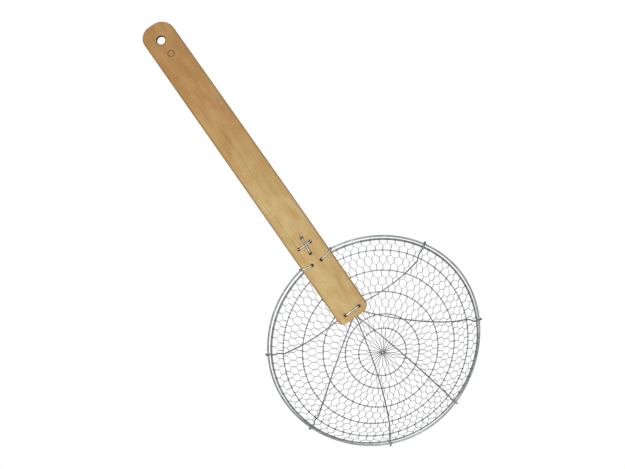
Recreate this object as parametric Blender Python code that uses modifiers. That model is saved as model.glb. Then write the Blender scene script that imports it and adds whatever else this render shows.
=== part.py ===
"""Wire strainer with a bent bamboo handle.

A netted bowl hangs on two rim rings, five net rings and three rib wires, and wire stitches tie it to
a flat slat. Metres, +Z up. The strainer lies as it rests on a table, on the slat's free end and on the
stitch under the bowl: the table is z = 0, +X runs from the free end towards the bowl, and the origin is
the middle of the footprint's box.

The basket is laid out in a frame of its own: its origin is the middle of the outer rim ring, +Z is the
bowl's axis and +X points away from the slat. Angles about that axis are counted from +X. The slat has
its own frame too: its origin is over the rim, +X runs down the lower stretch to the tip, +Z is its top.
"""

import math

import bmesh
import bpy
from mathutils import Matrix, Vector

MM = 0.001
GAP = 0.3 * MM

# Bowl: a rim of 9 inches over the wire, and a rounded profile that is steep at the rim
RIM_DIAMETER = 228.6 * MM
RIM_WIRE = 1.8 * MM
INNER_RIM_WIRE = 2.2 * MM
INNER_RIM_RADIUS = 110.5 * MM
BOWL_DEPTH = 56 * MM
PROFILE_RADIUS = 112.2 * MM
PROFILE_POWER = 0.67
RIM_RADIUS = (RIM_DIAMETER - RIM_WIRE) / 2

# Net rings, from the hub outwards, and the netting between them
NET_RINGS = {
    "net_ring_1": 26 * MM,
    "net_ring_2": 40.5 * MM,
    "net_ring_3": 62.5 * MM,
    "net_ring_4": 82.5 * MM,
    "net_ring_5": 100 * MM,
}
NET_RING_WIRE = 1.0 * MM
NET_COLUMNS = (12, 16, 20, 26, 30, 34)
NET_WIRE = 0.55 * MM
HUB_RADIUS = 2.4 * MM
HUB_HEIGHT = 2.6 * MM

# Rib wires: where each leg passes the widest net ring and where its hook sits on the rim, in degrees,
# and how far the leg bows to its left on the way out
RIB_WIRE = 1.3 * MM
RIB_LEGS = {
    "far_left": (-120.4, -118.0, 0.8 * MM),
    "left": (-72.8, -69.2, -5.0 * MM),
    "front_left": (-25.3, -24.6, 2.8 * MM),
    "front_right": (17.6, 16.1, 3.2 * MM),
    "right": (68.0, 63.6, -1.5 * MM),
    "far_right": (120.2, 117.6, -1.0 * MM),
}
RIB_RISE_MARGIN = 2 * MM
HOOK_INNER_TURN = 2.4 * MM
RIB_CROSS_X = -56.3 * MM
RIB_CROSS_HALF_STRAIGHT = 15.4 * MM
RIB_SIDE_TURN = (-54.5 * MM, 3.6 * MM)
RIB_FRONT_MIDDLE_Y = -0.4 * MM
RIB_FRONT_HALF_FOLD = 1.0 * MM
RIB_FRONT_FOLD_X = (-62.4 * MM, -48 * MM)
RIB_FOLD_START_X = -36 * MM
RIB_FOLD_RUN = 8 * MM

# Slat: lengths along its middle line on either side of the rim, its slopes to the rim's plane, how far
# it sits to the left of the bowl's middle and how far it is turned to the left; its corners, right first
SLAT_THICKNESS = 4.8 * MM
SLAT_TIP_WIDTH = 36.9 * MM
SLAT_GRIP_WIDTH = 36.2 * MM
TIP_REACH = 79.6 * MM
BEND_REACH = 66.4 * MM
GRIP_REACH = 239.7 * MM
LOWER_SLOPE = math.radians(37.5)
BEND_ANGLE = math.radians(25.8)
BEND_RADIUS = 55 * MM
SLAT_SHIFT = -1.1 * MM
SLAT_TURN = math.radians(-0.22)
TIP_CORNERS = (6 * MM, 9 * MM)
GRIP_CORNERS = (14 * MM, 16 * MM)
EDGE_ROUND = 0.8 * MM
HANGING_HOLE = 9 * MM
HANGING_HOLE_INSET = 19.4 * MM
HANGING_HOLE_Y = -0.7 * MM
HANGING_HOLE_SIDES = 24

# Stitches: where their holes are on the slat, the one on the right or nearer the grip first
STITCH_WIRE = 1.6 * MM
STITCH_HOLE = 3.0 * MM
STITCH_HOLE_SIDES = 10
STITCH_PULL = 0.35 * MM
LONG_STITCH = ((-26.3 * MM, 0.8 * MM), (-7.2 * MM, -0.8 * MM))
SHORT_STITCH = ((-17.7 * MM, -8.5 * MM), (-17.7 * MM, 6.0 * MM))
CROSS_STITCH_TAIL = 3 * MM
STITCH_BEND = 1.2 * MM
RIM_STITCHES = ((5.0 * MM, -6.7 * MM), (5.5 * MM, 4.9 * MM))
TIP_STITCH_INSET = 8.6 * MM
TIP_STITCH_Y = (-8.0 * MM, 9.6 * MM)

# How many times a search by halving narrows its range
HALVINGS = 30

BAMBOO = ("bamboo", (0.58, 0.38, 0.17), 0.5, 0.0)
WIRE = ("galvanised_wire", (0.55, 0.56, 0.54), 0.35, 1.0)

# Worked out from the sizes above
STITCH_RADIUS = STITCH_WIRE / 2
RIB_RADIUS = RIB_WIRE / 2
RIM_SAGITTA = RIM_RADIUS - math.sqrt(RIM_RADIUS**2 - (SLAT_TIP_WIDTH / 2 - SLAT_SHIFT) ** 2)
RIM_UNDER_EDGE = RIM_SAGITTA * math.sin(LOWER_SLOPE)
SLAT_OFFSET = RIM_WIRE / 2 + RIM_UNDER_EDGE + GAP + SLAT_THICKNESS / 2
RIB_LAYER = NET_RING_WIRE / 2 + GAP + RIB_RADIUS
FOLD_LAYER = RIB_LAYER + RIB_WIRE + GAP
STITCH_LAYER = FOLD_LAYER + RIB_RADIUS + GAP + STITCH_RADIUS
TOP_RUN = SLAT_THICKNESS / 2 + GAP + STITCH_RADIUS
TIP_STITCH_X = TIP_REACH - TIP_STITCH_INSET
GRIP_END_X = -(BEND_REACH + GRIP_REACH)
BEND_LENGTH = BEND_RADIUS * BEND_ANGLE
BEND_START_X = -BEND_REACH + BEND_LENGTH / 2


# ---------------------------------------------------------------- shared helpers


def clear_scene():
    for obj in list(bpy.data.objects):
        bpy.data.objects.remove(obj, do_unlink=True)


def new_collection(name):
    collection = bpy.data.collections.new(name)
    bpy.context.scene.collection.children.link(collection)
    return collection


def new_material(name, colour, roughness, metallic):
    material = bpy.data.materials.new(name)
    material.use_nodes = True
    shader = material.node_tree.nodes["Principled BSDF"]
    shader.inputs["Base Color"].default_value = (*colour, 1)
    shader.inputs["Roughness"].default_value = roughness
    shader.inputs["Metallic"].default_value = metallic
    return material


def new_object(name, data, collection, parent, material=None):
    obj = bpy.data.objects.new(name, data)
    obj.parent = parent
    collection.objects.link(obj)
    if material:
        data.materials.append(material)
    return obj


def new_empty(name, collection, parent=None):
    empty = new_object(name, None, collection, parent)
    empty.empty_display_size = 0.02
    return empty


def hide_as_guide(obj):
    obj.hide_render = True
    obj.display_type = "WIRE"


def mesh_from(build, name):
    """A mesh datablock from a function that fills a bmesh."""
    shape = bmesh.new()
    build(shape)
    bmesh.ops.recalc_face_normals(shape, faces=shape.faces)
    mesh = bpy.data.meshes.new(name)
    shape.to_mesh(mesh)
    shape.free()
    return mesh


def wire_curve(name, points, radius, cyclic=False):
    """A round wire along straight steps."""
    curve = bpy.data.curves.new(name, "CURVE")
    curve.dimensions = "3D"
    curve.bevel_depth = radius
    curve.bevel_resolution = 1
    curve.use_fill_caps = True
    spline = curve.splines.new("POLY")
    spline.points.add(len(points) - 1)
    spline.use_cyclic_u = cyclic
    for point, place in zip(spline.points, points, strict=True):
        point.co = (*place, 1)
    return curve


def curve_to_mesh(obj):
    """Replaces a curve object with a mesh object of the same shape, its caps welded on."""
    bpy.context.view_layer.update()
    evaluated = obj.evaluated_get(bpy.context.evaluated_depsgraph_get())
    mesh = bpy.data.meshes.new_from_object(evaluated)
    shape = bmesh.new()
    shape.from_mesh(mesh)
    bmesh.ops.remove_doubles(shape, verts=shape.verts, dist=1e-6)
    bmesh.ops.recalc_face_normals(shape, faces=shape.faces)
    shape.to_mesh(mesh)
    shape.free()
    solid = bpy.data.objects.new(obj.name, mesh)
    solid.parent = obj.parent
    solid.matrix_world = obj.matrix_world
    for collection in obj.users_collection:
        collection.objects.link(solid)
    name = obj.name
    bpy.data.objects.remove(obj, do_unlink=True)
    solid.name = name
    return solid


def arc(centre, radius, start, end, steps):
    """Points on an arc in a plane, from one angle to another, both ends included."""
    angles = [start + (end - start) * i / steps for i in range(steps + 1)]
    return [(centre[0] + radius * math.cos(a), centre[1] + radius * math.sin(a)) for a in angles]


def rounded_path(corners, radius, steps=4, cyclic=False):
    """A path through corners, each rounded as far as its neighbours leave room."""
    corners = [Vector(c) for c in corners]
    count = len(corners)
    path = []
    for i, corner in enumerate(corners):
        if not cyclic and i in (0, count - 1):
            path.append(corner)
            continue
        before = corners[i - 1] - corner
        after = corners[(i + 1) % count] - corner
        reach = min(radius, 0.45 * before.length, 0.45 * after.length)
        start = corner + before.normalized() * reach
        end = corner + after.normalized() * reach
        for step in range(steps + 1):
            t = step / steps
            path.append(start * (1 - t) ** 2 + corner * 2 * t * (1 - t) + end * t * t)
    return path


# ---------------------------------------------------------------- bowl surface


def bowl_depth(radius):
    return BOWL_DEPTH * (1 - (radius / PROFILE_RADIUS) ** 2) ** PROFILE_POWER


def bowl_slope(radius):
    """Rise over run of the bowl's wall, going outwards."""
    inside = 1 - (radius / PROFILE_RADIUS) ** 2
    return BOWL_DEPTH * PROFILE_POWER * 2 * radius / PROFILE_RADIUS**2 * inside ** (PROFILE_POWER - 1)


def bowl_point(radius, angle, offset=0.0):
    """A point on the netting's surface, or an offset above it along its normal."""
    slope = bowl_slope(radius)
    length = math.hypot(1, slope)
    out = radius - offset * slope / length
    up = -bowl_depth(radius) + offset / length
    return Vector((out * math.cos(angle), out * math.sin(angle), up))


def bowl_offset(point):
    """How far a point is above the netting's surface, close to the surface."""
    radius = math.hypot(point.x, point.y)
    return (point.z + bowl_depth(radius)) / math.hypot(1, bowl_slope(radius))


# ---------------------------------------------------------------- rings, netting and hub


def add_ring(name, radius, height, wire, segments, sides, basket):
    bpy.ops.mesh.primitive_torus_add(
        major_radius=radius,
        minor_radius=wire / 2,
        major_segments=segments,
        minor_segments=sides,
    )
    ring = bpy.context.object
    ring.name = name
    ring.data.name = name
    for collection in ring.users_collection:
        collection.objects.unlink(ring)
    basket["parts"].objects.link(ring)
    ring.parent = basket["axes"]
    ring.location = (0, 0, height)
    ring.data.materials.append(basket["wire"])
    ring.data.shade_smooth()


def add_rings(basket):
    inner_height = -bowl_depth(INNER_RIM_RADIUS)
    add_ring("rim_ring_outer", RIM_RADIUS, 0, RIM_WIRE, 64, 8, basket)
    add_ring("rim_ring_inner", INNER_RIM_RADIUS, inner_height, INNER_RIM_WIRE, 64, 6, basket)
    for name, radius in NET_RINGS.items():
        segments = 20 + round(radius / (4 * MM))
        add_ring(name, radius, -bowl_depth(radius), NET_RING_WIRE, segments, 6, basket)


def netting_cells(shape, inner, outer, columns):
    """Two staggered rows of cells between two rings, each cell one face of an open sheet."""
    rise = (outer - inner) / 3
    rows = []
    for row in range(4):
        tie = row // 2
        step = 2 * math.pi / columns
        places = [bowl_point(inner + row * rise, step * (k + tie / 2)) for k in range(columns)]
        rows.append([shape.verts.new(place) for place in places])
    for k in range(columns):
        n = (k + 1) % columns
        shape.faces.new((rows[0][k], rows[0][n], rows[1][n], rows[2][k], rows[1][k]))
        shape.faces.new((rows[2][k], rows[1][n], rows[2][n], rows[3][n], rows[3][k]))


def add_netting(basket):
    """One band of netting between each two neighbouring rings. Returns the bands, hub first."""
    edge_gap = NET_RING_WIRE / 2 + GAP + NET_WIRE / 2
    rings = list(NET_RINGS.values())
    inner_edges = [HUB_RADIUS] + rings
    outer_edges = rings + [INNER_RIM_RADIUS]
    names = ["net_band_hub", "net_band_1", "net_band_2", "net_band_3", "net_band_4", "net_band_rim"]
    bands = []
    for name, low, high, columns in zip(names, inner_edges, outer_edges, NET_COLUMNS, strict=True):
        inner = (low + edge_gap) / math.cos(math.pi / columns)
        outer = high - edge_gap

        def build(shape, inner=inner, outer=outer, columns=columns):
            netting_cells(shape, inner, outer, columns)

        band = new_object(name, mesh_from(build, name), basket["parts"], basket["axes"], basket["wire"])
        strands = band.modifiers.new("strands", "WIREFRAME")
        strands.thickness = NET_WIRE
        strands.use_boundary = True
        strands.use_even_offset = False
        bands.append(band)
    return bands


def add_hub(basket):
    def build(shape):
        flatten = Matrix.Diagonal((HUB_RADIUS, HUB_RADIUS, HUB_HEIGHT / 2, 1))
        bmesh.ops.create_uvsphere(shape, u_segments=12, v_segments=8, radius=1, matrix=flatten)

    mesh = mesh_from(build, "hub_knot")
    hub = new_object("hub_knot", mesh, basket["parts"], basket["axes"], basket["wire"])
    hub.location = (0, 0, -BOWL_DEPTH)
    hub.data.shade_smooth()


# ---------------------------------------------------------------- rib wires


def hook_points(angle):
    """The end of a rib: over the inner rim ring, under the outer one, round it and back over its top."""
    inner = Vector((INNER_RIM_RADIUS, -bowl_depth(INNER_RIM_RADIUS)))
    outer = Vector((RIM_RADIUS, 0))
    across = outer - inner
    towards = math.atan2(across.y, across.x)
    outer_turn = across.length - HOOK_INNER_TURN
    profile = arc(inner, HOOK_INNER_TURN, math.radians(190), towards, 4)
    profile += arc(outer, outer_turn, towards - math.pi, math.radians(140), 9)[1:]
    return [Vector((r * math.cos(angle), r * math.sin(angle), z)) for r, z in profile]


def rib_offset(x, radius, folded):
    """Where a rib runs on the wall: under the netting, and over it from the widest ring outwards."""
    ring_4 = NET_RINGS["net_ring_4"]
    ring_5 = NET_RINGS["net_ring_5"]
    rise = (radius - ring_4 - RIB_RISE_MARGIN) / (ring_5 - ring_4 - 2 * RIB_RISE_MARGIN)
    rise = min(max(rise, 0), 1)
    under = -RIB_LAYER
    if folded:
        fold = min(max((RIB_FOLD_START_X - x) / RIB_FOLD_RUN, 0), 1)
        under = -RIB_LAYER + (RIB_LAYER - FOLD_LAYER) * fold
    return under + (RIB_LAYER - under) * rise


def bowed(start, end, bow, share):
    """A point part of the way along a line that bows to its left."""
    across = Vector((start.y - end.y, end.x - start.x)).normalized()
    return start.lerp(end, share) + across * bow * 4 * share * (1 - share)


def share_at_radius(start, end, bow, radius):
    """How far along a bowed line, from 0 to 1, it gets out to a radius."""
    low, high = 0.5, 1.0
    for _ in range(HALVINGS):
        share = (low + high) / 2
        if bowed(start, end, bow, share).length < radius:
            low = share
        else:
            high = share
    return high


def rib_leg(start, leg, folded=False, steps=7):
    """A rib's leg, from a point under the slat's tip to the hook on the rim."""
    ring_degrees, hook_degrees, bow = RIB_LEGS[leg]
    ring_angle = math.radians(ring_degrees)
    hook_angle = math.radians(hook_degrees)
    ring_5 = NET_RINGS["net_ring_5"]
    start = Vector(start)
    end = Vector((ring_5 * math.cos(ring_angle), ring_5 * math.sin(ring_angle)))
    rise_start = share_at_radius(start, end, bow, NET_RINGS["net_ring_4"] + RIB_RISE_MARGIN)
    rise_end = share_at_radius(start, end, bow, ring_5 - RIB_RISE_MARGIN)
    points = []
    for share in [rise_start * i / steps for i in range(steps + 1)] + [rise_end, 1]:
        place = bowed(start, end, bow, share)
        offset = rib_offset(place.x, place.length, folded)
        points.append(bowl_point(place.length, math.atan2(place.y, place.x), offset))
    wall_radius = (ring_5 + INNER_RIM_RADIUS) / 2
    points.append(bowl_point(wall_radius, (ring_angle + hook_angle) / 2, RIB_LAYER))
    return points + hook_points(hook_angle)


def under_netting(x, y, layer):
    return bowl_point(math.hypot(x, y), math.atan2(y, x), -layer)


def rib_cross_points():
    """Straight across under the tip."""
    left = rib_leg((RIB_CROSS_X, -RIB_CROSS_HALF_STRAIGHT), "far_left")
    right = rib_leg((RIB_CROSS_X, RIB_CROSS_HALF_STRAIGHT), "far_right")
    return left[::-1] + [under_netting(RIB_CROSS_X, 0, RIB_LAYER)] + right


def rib_side_points():
    """One turn under the tip."""
    left = rib_leg(RIB_SIDE_TURN, "left")
    right = rib_leg(RIB_SIDE_TURN, "right")
    return left[::-1] + right[1:]


def rib_front_points():
    """A narrow fold that passes under the other two ribs and over the tip stitch."""
    low, high = RIB_FRONT_FOLD_X
    left_y = RIB_FRONT_MIDDLE_Y - RIB_FRONT_HALF_FOLD
    right_y = RIB_FRONT_MIDDLE_Y + RIB_FRONT_HALF_FOLD
    left = rib_leg((high, left_y), "front_left", folded=True)
    right = rib_leg((high, right_y), "front_right", folded=True)
    turn = arc((low, RIB_FRONT_MIDDLE_Y), RIB_FRONT_HALF_FOLD, math.radians(270), math.radians(90), 4)
    fold = [under_netting(x, y, FOLD_LAYER) for x, y in turn]
    return left[::-1] + fold + right


def add_ribs(basket):
    """The three rib wires. Returns wider copies of them that clear their way through the netting."""
    paths = {
        "rib_wire_cross": rib_cross_points(),
        "rib_wire_side": rib_side_points(),
        "rib_wire_front": rib_front_points(),
    }
    cutters = []
    for name, points in paths.items():
        curve = wire_curve(name, points, RIB_RADIUS)
        new_object(name, curve, basket["parts"], basket["axes"], basket["wire"])
        wider = wire_curve(name + "_clearance", points, RIB_RADIUS + GAP)
        cutter = new_object(name + "_clearance", wider, basket["cutters"], basket["axes"])
        cutters.append(curve_to_mesh(cutter))
    return cutters


# ---------------------------------------------------------------- slat


def slat_place(x, y, z):
    """Takes a point of the straight slat to its place on the bent one."""
    beyond = BEND_START_X - x
    if beyond <= 0:
        return Vector((x, y, z))
    angle = min(beyond / BEND_RADIUS, BEND_ANGLE)
    straight = max(beyond - BEND_LENGTH, 0)
    out = BEND_START_X - (BEND_RADIUS + z) * math.sin(angle) - straight * math.cos(angle)
    up = -BEND_RADIUS + (BEND_RADIUS + z) * math.cos(angle) - straight * math.sin(angle)
    return Vector((out, y, up))


def corner(end_x, inwards, side_y, radius, start):
    """A rounded corner of the slat's outline. Inwards is the way along X from the end to the slat."""
    middle = (end_x + inwards * radius, side_y - math.copysign(radius, side_y))
    return arc(middle, radius, start, start + math.pi / 2, 6)


def slat_outline():
    tip_y = SLAT_TIP_WIDTH / 2
    grip_y = SLAT_GRIP_WIDTH / 2
    outline = corner(TIP_REACH, -1, -tip_y, TIP_CORNERS[0], -math.pi / 2)
    outline += corner(TIP_REACH, -1, tip_y, TIP_CORNERS[1], 0)
    outline += corner(GRIP_END_X, 1, grip_y, GRIP_CORNERS[1], math.pi / 2)
    outline += corner(GRIP_END_X, 1, -grip_y, GRIP_CORNERS[0], math.pi)
    return outline


def flat_slat(parts, parent):
    """The straight slat, with rounded edges."""
    outline = slat_outline()
    curve = bpy.data.curves.new("bamboo_handle", "CURVE")
    curve.dimensions = "2D"
    curve.fill_mode = "BOTH"
    curve.extrude = SLAT_THICKNESS / 2 - EDGE_ROUND
    curve.bevel_depth = EDGE_ROUND
    curve.bevel_resolution = 1
    curve.offset = -EDGE_ROUND
    spline = curve.splines.new("POLY")
    spline.points.add(len(outline) - 1)
    spline.use_cyclic_u = True
    for point, (x, y) in zip(spline.points, outline, strict=True):
        point.co = (x, y, 0, 1)
    return curve_to_mesh(new_object("bamboo_handle", curve, parts, parent))


def bend_slat(slat, steps=8):
    """Cuts the slat across at each step of the bend, and bends it there."""
    shape = bmesh.new()
    shape.from_mesh(slat.data)
    for i in range(steps + 1):
        place = Vector((BEND_START_X - BEND_LENGTH * i / steps, 0, 0))
        everything = shape.verts[:] + shape.edges[:] + shape.faces[:]
        bmesh.ops.bisect_plane(shape, geom=everything, dist=1e-6, plane_co=place, plane_no=(1, 0, 0))
    for vert in shape.verts:
        vert.co = slat_place(*vert.co)
    bmesh.ops.recalc_face_normals(shape, faces=shape.faces)
    shape.to_mesh(slat.data)
    shape.free()


def add_drill(name, x, y, diameter, sides, slat, cutters):
    """A cutter for one hole square through the slat."""

    def build(shape):
        bmesh.ops.create_cone(
            shape,
            cap_ends=True,
            segments=sides,
            radius1=diameter / 2,
            radius2=diameter / 2,
            depth=3 * SLAT_THICKNESS,
        )

    drill = new_object(name, mesh_from(build, name), cutters, slat)
    drill.location = slat_place(x, y, 0)
    beyond = BEND_START_X - x
    drill.rotation_euler.y = -min(max(beyond / BEND_RADIUS, 0), BEND_ANGLE)
    hide_as_guide(drill)


def stitch_holes():
    return {
        "drill_cross_grip": LONG_STITCH[0],
        "drill_cross_tip": LONG_STITCH[1],
        "drill_cross_right": SHORT_STITCH[0],
        "drill_cross_left": SHORT_STITCH[1],
        "drill_rim_right": RIM_STITCHES[0],
        "drill_rim_left": RIM_STITCHES[1],
        "drill_tip_right": (TIP_STITCH_X, TIP_STITCH_Y[0]),
        "drill_tip_left": (TIP_STITCH_X, TIP_STITCH_Y[1]),
    }


def add_slat(basket):
    slat = flat_slat(basket["parts"], basket["slat_axes"])
    bend_slat(slat)
    slat.data.materials.append(basket["bamboo"])
    drills = bpy.data.collections.new("drills")
    basket["cutters"].children.link(drills)
    hole_x = GRIP_END_X + HANGING_HOLE_INSET
    add_drill("drill_hanging_hole", hole_x, HANGING_HOLE_Y, HANGING_HOLE, HANGING_HOLE_SIDES, slat, drills)
    for name, (x, y) in stitch_holes().items():
        add_drill(name, x, y, STITCH_HOLE, STITCH_HOLE_SIDES, slat, drills)
    holes = slat.modifiers.new("holes", "BOOLEAN")
    holes.operand_type = "COLLECTION"
    holes.collection = drills


# ---------------------------------------------------------------- stitches


def slat_to_basket():
    """The slat's frame, seen from the basket: over the rim, sloping down into the bowl."""
    normal = Vector((math.sin(LOWER_SLOPE), 0, math.cos(LOWER_SLOPE)))
    place = Vector((-RIM_RADIUS, SLAT_SHIFT, 0)) + normal * SLAT_OFFSET
    turn = Matrix.Rotation(LOWER_SLOPE, 4, "Y") @ Matrix.Rotation(SLAT_TURN, 4, "Z")
    return Matrix.Translation(place) @ turn


def drop_to_layer(x, y, layer):
    """The slat-frame height, under a place on the slat, that lies a layer's depth below the netting."""
    to_basket = slat_to_basket()
    high = -SLAT_THICKNESS / 2
    low = high - BOWL_DEPTH
    for _ in range(HALVINGS):
        middle = (high + low) / 2
        if bowl_offset(to_basket @ Vector((x, y, middle))) > -layer:
            high = middle
        else:
            low = middle
    return low


def pulled(first, second):
    """Two holes' places, each moved to where a taut wire between them rests in its hole."""
    first, second = Vector((*first, 0)), Vector((*second, 0))
    pull = (second - first).normalized() * STITCH_PULL
    return first + pull, second - pull


def cross_stitch_points(holes, lift):
    """Over the top through two holes, the ends bent apart underneath. It bows up by a lift midway."""
    first, second = pulled(*holes)
    along = (second - first).normalized()
    top = Vector((0, 0, TOP_RUN))
    tail = along * CROSS_STITCH_TAIL
    start = [first - top - tail, first - top, first + top]
    corners = [*start, second + top, second - top, second - top + tail]
    if lift:
        middle = (first + second) / 2 + top + Vector((0, 0, lift))
        corners[3:3] = [middle - along * 2 * STITCH_WIRE, middle + along * 2 * STITCH_WIRE]
    return rounded_path(corners, STITCH_BEND, steps=2)


def rim_stitch_points(hole):
    """A closed loop: up through its hole, over the slat's edge, round the outer rim ring and back."""
    hole_x, hole_y = hole
    side = math.copysign(1, hole_y)
    edge_y = SLAT_TIP_WIDTH / 2
    outside_y = edge_y + GAP + STITCH_RADIUS
    rim_y = side * outside_y + SLAT_SHIFT
    rim_ring = Vector((-math.sqrt(RIM_RADIUS**2 - rim_y**2), rim_y, 0))
    rim = slat_to_basket().inverted() @ rim_ring
    reach = RIM_WIRE / 2 + GAP + STITCH_RADIUS
    below_slat = -SLAT_THICKNESS / 2 - GAP - STITCH_RADIUS
    below_rim = rim.z - reach - STITCH_RADIUS
    corners = [
        (hole_x, side * hole_y, below_slat),
        (hole_x, side * hole_y, TOP_RUN),
        (rim.x - STITCH_WIRE, outside_y, TOP_RUN),
        (rim.x - reach - STITCH_RADIUS, outside_y + STITCH_RADIUS, 0),
        (rim.x - reach - STITCH_RADIUS, outside_y + STITCH_RADIUS, rim.z - reach),
        (rim.x, edge_y, below_rim),
        (rim.x + reach, edge_y - 2 * STITCH_WIRE, below_rim),
        (hole_x + STITCH_RADIUS, side * hole_y + 2 * STITCH_WIRE, below_slat - STITCH_RADIUS),
    ]
    return rounded_path([(x, side * y, z) for x, y, z in corners], STITCH_BEND, steps=2, cyclic=True)


def tip_stitch_points():
    """A closed loop through the tip, the netting and under the ribs."""
    right, left = pulled(*((TIP_STITCH_X, y) for y in TIP_STITCH_Y))
    top = Vector((0, 0, TOP_RUN))
    bottom = Vector((0, 0, drop_to_layer(TIP_STITCH_X, 0, STITCH_LAYER)))
    corners = [right + bottom, right + top, left + top, left + bottom]
    return rounded_path(corners, STITCH_BEND, steps=2, cyclic=True)


def add_stitches(basket):
    """The five stitch wires. Returns a wider copy of the tip stitch, which goes through the netting."""
    paths = {
        "cross_stitch_long": (cross_stitch_points(LONG_STITCH, STITCH_WIRE + GAP), False),
        "cross_stitch_short": (cross_stitch_points(SHORT_STITCH, 0), False),
        "rim_stitch_left": (rim_stitch_points(RIM_STITCHES[1]), True),
        "rim_stitch_right": (rim_stitch_points(RIM_STITCHES[0]), True),
        "tip_stitch": (tip_stitch_points(), True),
    }
    for name, (points, cyclic) in paths.items():
        curve = wire_curve(name, points, STITCH_RADIUS, cyclic)
        new_object(name, curve, basket["parts"], basket["slat_axes"], basket["wire"])
    wider = wire_curve("tip_stitch_clearance", tip_stitch_points(), STITCH_RADIUS + GAP, cyclic=True)
    cutter = new_object("tip_stitch_clearance", wider, basket["cutters"], basket["slat_axes"])
    return curve_to_mesh(cutter)


def clear_netting(band, cutters):
    """Opens a band of netting where wires pass through it."""
    for cutter in cutters:
        way = band.modifiers.new("way_for_" + cutter.name, "BOOLEAN")
        way.object = cutter
        hide_as_guide(cutter)


# ---------------------------------------------------------------- resting place


def resting_tilt():
    """The slope, seen from the basket, of the line under the slat's free end and the tip stitch."""
    to_basket = slat_to_basket()
    heel = to_basket @ slat_place(GRIP_END_X + EDGE_ROUND, 0, -SLAT_THICKNESS / 2)
    toe_height = drop_to_layer(TIP_STITCH_X, 0, STITCH_LAYER) - STITCH_RADIUS
    toe = to_basket @ Vector((TIP_STITCH_X, 0, toe_height))
    return math.atan2(heel.z - toe.z, toe.x - heel.x)


def put_on_table(root, parts):
    """Moves the whole strainer so that its lowest point is on the table and its box is centred."""
    bpy.context.view_layer.update()
    depsgraph = bpy.context.evaluated_depsgraph_get()
    corners = []
    for obj in parts.objects:
        if obj.type == "EMPTY":
            continue
        evaluated = obj.evaluated_get(depsgraph)
        mesh = evaluated.to_mesh()
        corners += [evaluated.matrix_world @ vert.co for vert in mesh.vertices]
        evaluated.to_mesh_clear()
    low = Vector([min(c[i] for c in corners) for i in range(3)])
    high = Vector([max(c[i] for c in corners) for i in range(3)])
    root.location = (-(low.x + high.x) / 2, -(low.y + high.y) / 2, -low.z)


def build_strainer():
    clear_scene()
    parts = new_collection("wire_strainer")
    cutters = new_collection("cutters")
    basket_axes = new_empty("basket_axes", parts)
    basket_axes.rotation_euler.y = -resting_tilt()
    slat_axes = new_empty("slat_axes", parts, basket_axes)
    slat_axes.matrix_local = slat_to_basket()
    basket = {
        "parts": parts,
        "cutters": cutters,
        "axes": basket_axes,
        "slat_axes": slat_axes,
        "bamboo": new_material(*BAMBOO),
        "wire": new_material(*WIRE),
    }
    add_rings(basket)
    bands = add_netting(basket)
    add_hub(basket)
    rib_cutters = add_ribs(basket)
    add_slat(basket)
    stitch_cutter = add_stitches(basket)
    clear_netting(bands[4], rib_cutters)
    clear_netting(bands[2], [stitch_cutter])
    put_on_table(basket_axes, parts)


build_strainer()
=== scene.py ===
"""The looks of a wire strainer with a bent bamboo handle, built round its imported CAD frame.

The basket is laid out in its own frame: the origin is the middle of the outer rim ring, +Z is the
bowl's axis and +X points away from the handle. Angles about that axis are counted from +X. The slat has
its own frame too: the origin is over the rim, +X runs down the lower stretch to the tip, +Z is its top.
Both are worked out from the boxes of the CAD nodes.
"""

import math

import bmesh
import bpy
import numpy as np
from mathutils import Matrix, Vector


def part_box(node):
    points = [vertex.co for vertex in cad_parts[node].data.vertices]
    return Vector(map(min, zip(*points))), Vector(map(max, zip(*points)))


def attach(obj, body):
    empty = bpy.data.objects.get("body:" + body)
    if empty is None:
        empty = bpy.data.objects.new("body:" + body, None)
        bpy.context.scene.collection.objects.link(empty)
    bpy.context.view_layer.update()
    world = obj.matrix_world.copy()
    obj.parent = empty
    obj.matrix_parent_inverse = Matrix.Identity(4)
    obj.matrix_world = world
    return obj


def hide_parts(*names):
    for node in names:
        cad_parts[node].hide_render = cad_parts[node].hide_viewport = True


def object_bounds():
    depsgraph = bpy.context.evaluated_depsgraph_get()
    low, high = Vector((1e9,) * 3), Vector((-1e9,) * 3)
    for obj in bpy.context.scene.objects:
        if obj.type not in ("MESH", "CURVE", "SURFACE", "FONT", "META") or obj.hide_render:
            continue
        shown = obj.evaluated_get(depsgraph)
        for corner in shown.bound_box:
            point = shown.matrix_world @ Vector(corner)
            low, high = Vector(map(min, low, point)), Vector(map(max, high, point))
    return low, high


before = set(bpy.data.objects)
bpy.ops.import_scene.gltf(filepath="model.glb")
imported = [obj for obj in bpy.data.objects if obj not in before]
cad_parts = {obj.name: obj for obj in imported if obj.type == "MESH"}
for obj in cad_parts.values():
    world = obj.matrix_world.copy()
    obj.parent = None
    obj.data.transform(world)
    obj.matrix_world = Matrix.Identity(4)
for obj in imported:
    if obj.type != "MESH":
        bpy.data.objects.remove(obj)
CAD_LOW, CAD_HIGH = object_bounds()

MM = 0.001
TURN = 2 * math.pi
GAP = 0.3 * MM

# Wires. The selvage is the netting's edge: two wires side by side in place of the CAD's inner rim ring
RIM_WIRE = 1.8 * MM
INNER_RIM_WIRE = 2.2 * MM
NET_RING_WIRE = 1.0 * MM
RIB_WIRE = 1.3 * MM
STITCH_WIRE = 1.6 * MM
STRAND_WIRE = 0.43 * MM
SELVAGE_WIRE = 1.25 * MM
SELVAGE_SPREAD = 0.8 * MM
SELVAGE_WANDER = 0.12 * MM
SELVAGE_WAVES = 7
RIM_STEPS = 720
RING_WAVE = 0.16 * MM

# Bowl profile, as in the CAD
PROFILE_RADIUS = 112.2 * MM
PROFILE_POWER = 0.67


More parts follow.
